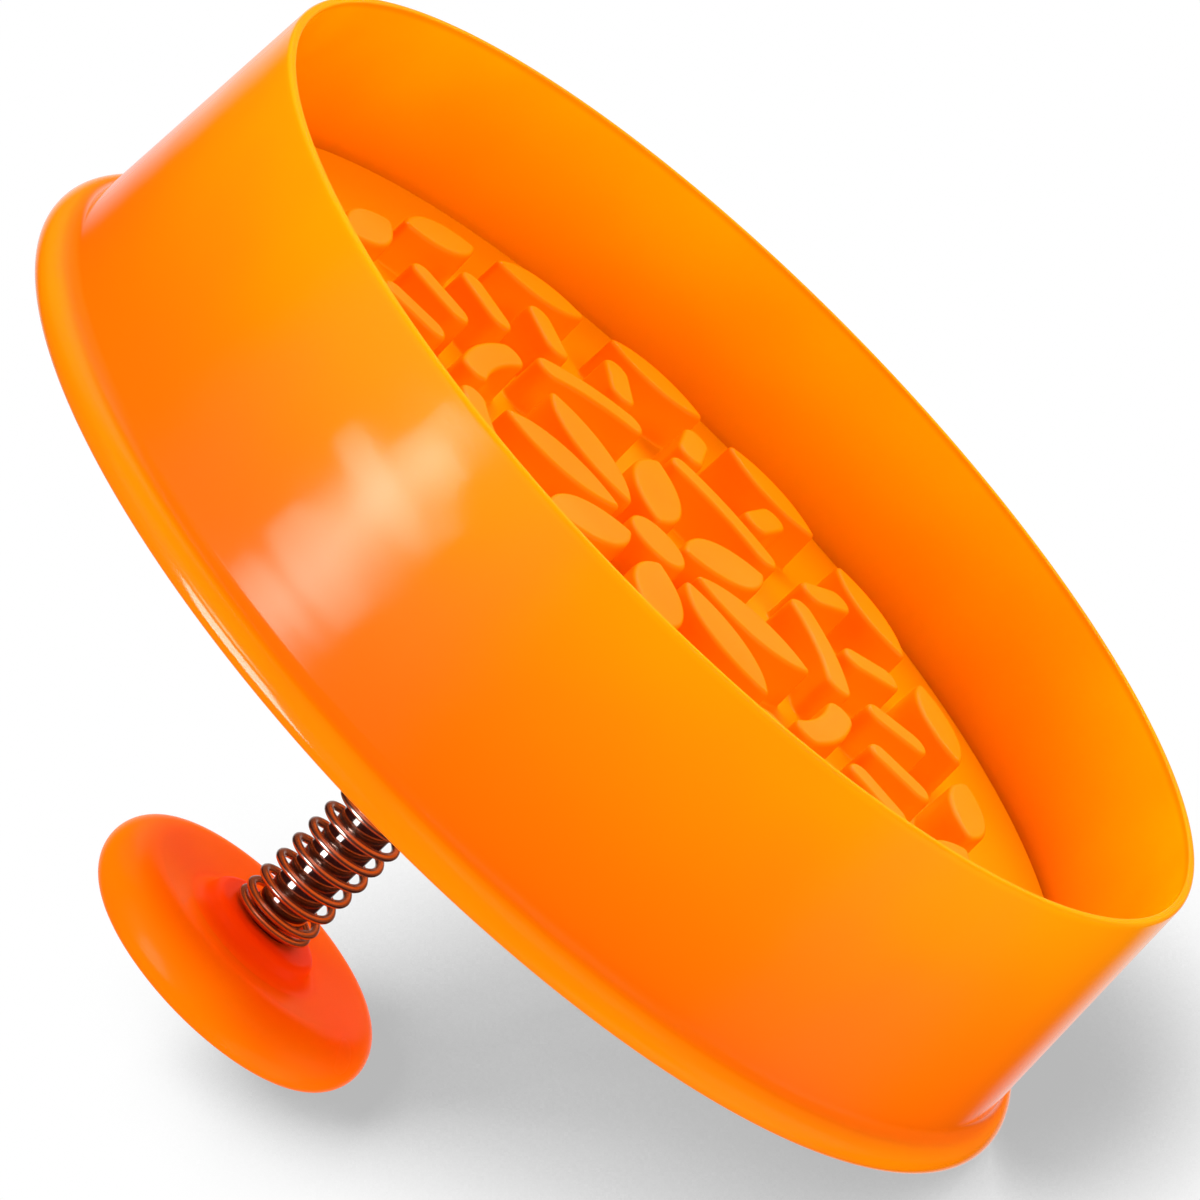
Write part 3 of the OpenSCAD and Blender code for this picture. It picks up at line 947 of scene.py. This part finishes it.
class CUTTER_OT_stage(Operator):
    """Set the camera, the pale floors and the studio light"""

    bl_idname = "cutter.stage"
    bl_label = "Stage"

    def execute(self, context):
        s = context.scene.cutter_stage
        towards = self.place_camera(context.scene, s)
        # The sky over the lying cutter leans to the left of the picture and towards the camera
        left = Vector((-0.514, 0.514, 0.687))
        lean = left * 0.4 + towards * 0.35
        down, drop = self.lie_on_flange_and_knob(context)
        under_edge = Vector((0, 0, -0.1 * MM))
        self.lay_floor(s, "Lying floor", down * drop, -down, lean)
        self.lay_floor(s, "Standing floor", under_edge, Vector((0, 0, 1)), Vector((0, 0, 0)))
        for name, azimuth, elevation, strength in DIFFUSERS:
            self.hang_diffuser(s, name, radians(azimuth), radians(elevation), strength)
        for height, azimuth, spread, long, strength in GLINTS:
            self.hang_glint(context, height, radians(azimuth), radians(spread), long, strength)
        self.hang_steel_softbox(s)
        self.light_room(context.scene, s, towards)
        context.scene.view_settings.view_transform = "Standard"
        return {"FINISHED"}

    def place_camera(self, scene, s):
        """Camera at the photograph's angle. Returns the direction towards it."""
        level = Vector((sin(s.azimuth), -cos(s.azimuth), 0)) * cos(s.elevation)
        towards = level + Vector((0, 0, sin(s.elevation)))
        right = Vector((0, 0, 1)).cross(towards).normalized()
        up = towards.cross(right)
        roll = Matrix.Rotation(s.roll, 3, towards)
        axes = Matrix((roll @ right, roll @ up, towards)).transposed()
        data = bpy.data.cameras.new("Camera")
        data.lens = s.lens
        data.sensor_width = 36.0
        data.clip_start = 10 * MM
        camera = bpy.data.objects.new("Camera", data)
        camera.matrix_world = Matrix.Translation(Vector(s.aim) + towards * s.distance) @ axes.to_4x4()
        scene.collection.objects.link(camera)
        scene.camera = camera
        return towards

    def lie_on_flange_and_knob(self, context):
        """Direction out of the cutter to the floor it lies on, and the floor's distance from the origin."""
        shell, knob = context.scene.cutter_shell, context.scene.cutter_knob
        half = shell.flange_width / 2
        flange = Vector((SHELL_HIGH.x - half, SHELL_HIGH.z - shell.cup_height - half))
        crest = KNOB_LOW.z + knob.seat_height - knob.dish_depth
        edge = Vector((KNOB_HIGH.x - knob.edge_radius, crest + knob.edge_radius))
        along = edge - flange
        tilt = atan2(along.y, along.x) - acos((half - knob.edge_radius) / along.length)
        lying = context.scene.cutter_stage.lying_azimuth
        side = Vector((cos(lying), sin(lying), 0))
        down = side * cos(tilt) + Vector((0, 0, sin(tilt)))
        return down, flange.x * cos(tilt) + flange.y * sin(tilt) + half

    def lay_floor(self, s, name, at, up, lean):
        """Round pale floor that only the camera sees, from above. Its soft shadow falls away from lean."""
        bm = bmesh.new()
        bmesh.ops.create_circle(bm, cap_ends=True, segments=96, radius=2.5)
        floor = new_object(name, bm)
        floor.matrix_world = Matrix.Translation(at) @ up.to_track_quat("Z", "Y").to_matrix().to_4x4()
        floor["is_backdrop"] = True
        for ray in ("diffuse", "glossy", "transmission", "shadow"):
            setattr(floor, "visible_" + ray, False)
        material, tree, shader = new_material(name)
        floor.data.materials.append(material)
        tree.nodes.remove(shader)
        facing = tree.add("CombineXYZ", *(up + lean).normalized()).outputs[0]
        inputs = {"Distance": s.shadow_reach, "Normal": facing}
        open_sky = tree.add_fed("AmbientOcclusion", inputs, samples=16).outputs["AO"]
        light = tree.ranged(open_sky, low=0.38, high=0.66, to_low=s.shadow_depth)
        glow = tree.add_fed("Emission", {"Strength": light}).outputs[0]
        clear = tree.add("BsdfTransparent").outputs[0]
        from_below = tree.add("NewGeometry").outputs["Backfacing"]
        surface = tree.add("MixShader", from_below, glow, clear).outputs[0]
        tree.feed(tree.nodes["Material Output"].inputs["Surface"], surface)

    def hang_diffuser(self, s, name, azimuth, elevation, strength):
        """Wide soft light from far away, which lights the plastic but leaves no image in its gloss."""
        data = bpy.data.lights.new(name, "SUN")
        data.angle = s.diffuser_angle
        data.energy = pi * strength * s.diffuser_strength
        away = Matrix.Rotation(azimuth, 3, "Z") @ Matrix.Rotation(-elevation, 3, "Y") @ Vector((1, 0, 0))
        self.place_lamp(name, data, Vector((0, 0, 0)), away, 1.0).visible_glossy = False

    def hang_glint(self, context, height, azimuth, spread, long, strength):
        """Small panel whose mirror image the camera sees as one glint on the wall."""
        shell, stage = context.scene.cutter_shell, context.scene.cutter_stage
        lean = shell.wall_lean / (SHELL_HIGH.z - shell.cup_height - shell.flange_width)
        around = Vector((cos(azimuth), sin(azimuth), 0))
        spot = around * (shell.rim_radius + lean * height) + Vector((0, 0, height))
        facing = (around - Vector((0, 0, lean))).normalized()
        seen = (context.scene.camera.matrix_world.translation - spot).normalized()
        away = 2 * facing.dot(seen) * facing - seen
        reach = stage.glint_distance
        wide = 2 * (spot.xy.length * sin(spread) + reach * tan(2 * spread))
        data = bpy.data.lights.new("Glint", "AREA")
        data.shape = "ELLIPSE"
        data.size, data.size_y = wide, long
        data.spread = stage.glint_beam
        data.color = stage.glint_colour
        half = stage.glint_beam / 2
        focus = 1 - half / tan(half)
        data.energy = pi * (pi / 4 * wide * long) * strength * focus * stage.glint_strength
        self.place_lamp("Glint", data, spot, away, reach).visible_diffuse = False

    def hang_steel_softbox(self, s):
        """Panel that gives the spring its bright streaks. It stands too low for the wall to mirror it."""
        wide, high, distance = 170 * MM, 240 * MM, 400 * MM
        at, away = Vector((0, 0, SPRING_LOW.z)), Vector((-0.16, 0.77, 0.62))
        data = bpy.data.lights.new("Steel softbox", "AREA")
        data.shape = "RECTANGLE"
        data.size, data.size_y = wide, high
        data.energy = pi * wide * high * s.steel_strength
        self.place_lamp("Steel softbox", data, at, away, distance).visible_diffuse = False

    def place_lamp(self, name, data, at, away, distance):
        """Lamp that faces a point, unseen by the camera."""
        lamp = bpy.data.objects.new(name, data)
        away = away.normalized()
        turned = away.to_track_quat("Z", "Y").to_matrix().to_4x4()
        lamp.matrix_world = Matrix.Translation(at + away * distance) @ turned
        lamp.visible_camera = False
        bpy.context.scene.collection.objects.link(lamp)
        return lamp

    def light_room(self, scene, s, towards):
        """White room that lights evenly. In the gloss it is dim and warm, apart from the backdrop."""
        scene.world = bpy.data.worlds.new("Studio")
        scene.world.use_nodes = True
        tree = ShaderTree(scene.world.node_tree)
        around = tree.coords("Generated")
        # Two cones behind the cutter, swung about Z by some degrees, make up the backdrop
        cones = []
        for swing in (-9, 3):
            axis = Matrix.Rotation(radians(swing), 3, "Z") @ towards
            cones.append(tree.vector("DOT_PRODUCT", around, axis))
        beside = tree.ranged(tree.calc("MINIMUM", *cones), low=-0.99, high=-0.91)
        height = tree.add("SeparateXYZ", around).outputs["Z"]
        off_level = tree.calc("ABSOLUTE", tree.calc("ADD", height, towards.z))
        warmth = tree.ranged(off_level, low=0.12, high=0.4, smooth=True)
        room = tree.blend(warmth, s.dark_colour, s.dim_colour)
        mirrored = tree.blend(beside, s.backdrop_colour, room)
        ray = tree.add("LightPath").outputs
        even = tree.blend(ray["Is Diffuse Ray"], (1, 1, 1), [s.room_strength] * 3)
        light = tree.blend(ray["Is Glossy Ray"], even, mirrored)
        tree.feed(tree.nodes["Background"].inputs["Color"], light)


class CUTTER_PT_pieces(Panel):
    """Pieces of the cutter and its stage"""

    bl_idname = "CUTTER_PT_pieces"
    bl_label = "Plunger cutter"
    bl_space_type = "VIEW_3D"
    bl_region_type = "UI"
    bl_category = "Cutter"

    def draw(self, context):
        for name, _, operator in SECTIONS:
            box = self.layout.box()
            box.operator(operator.bl_idname)
            group = getattr(context.scene, name)
            for label in group.bl_rna.properties.keys():
                if label not in {"rna_type", "name"}:
                    box.prop(group, label)


# Sections of the panel: the settings' name in the scene, their class and the operator
SECTIONS = (
    ("cutter_shell", CutterShellSettings, CUTTER_OT_shell),
    ("cutter_plate", StampPlateSettings, CUTTER_OT_stamp_plate),
    ("cutter_rod", PlungerRodSettings, CUTTER_OT_plunger_rod),
    ("cutter_spring", ReturnSpringSettings, CUTTER_OT_return_spring),
    ("cutter_knob", KnobSettings, CUTTER_OT_knob),
    ("cutter_stage", CutterStageSettings, CUTTER_OT_stage),
)


def register():
    """Registers the settings, the operators and the panel."""
    for name, settings, operator in SECTIONS:
        bpy.utils.register_class(settings)
        setattr(bpy.types.Scene, name, PointerProperty(type=settings))
        bpy.utils.register_class(operator)
    bpy.utils.register_class(CUTTER_PT_pieces)


def unregister():
    """Takes everything out again, in reverse order."""
    bpy.utils.unregister_class(CUTTER_PT_pieces)
    for name, settings, operator in reversed(SECTIONS):
        bpy.utils.unregister_class(operator)
        delattr(bpy.types.Scene, name)
        bpy.utils.unregister_class(settings)


def main():
    """Builds every piece and the stage."""
    register()
    bpy.ops.cutter.shell()
    bpy.ops.cutter.stamp_plate()
    bpy.ops.cutter.plunger_rod()
    bpy.ops.cutter.return_spring()
    bpy.ops.cutter.knob()
    bpy.ops.cutter.stage()
    boxes = {"cad": CAD_BOX, "visual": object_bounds()}
    {name: [list(corner) for corner in box] for name, box in boxes.items()}


if __name__ == "__main__":
    main()
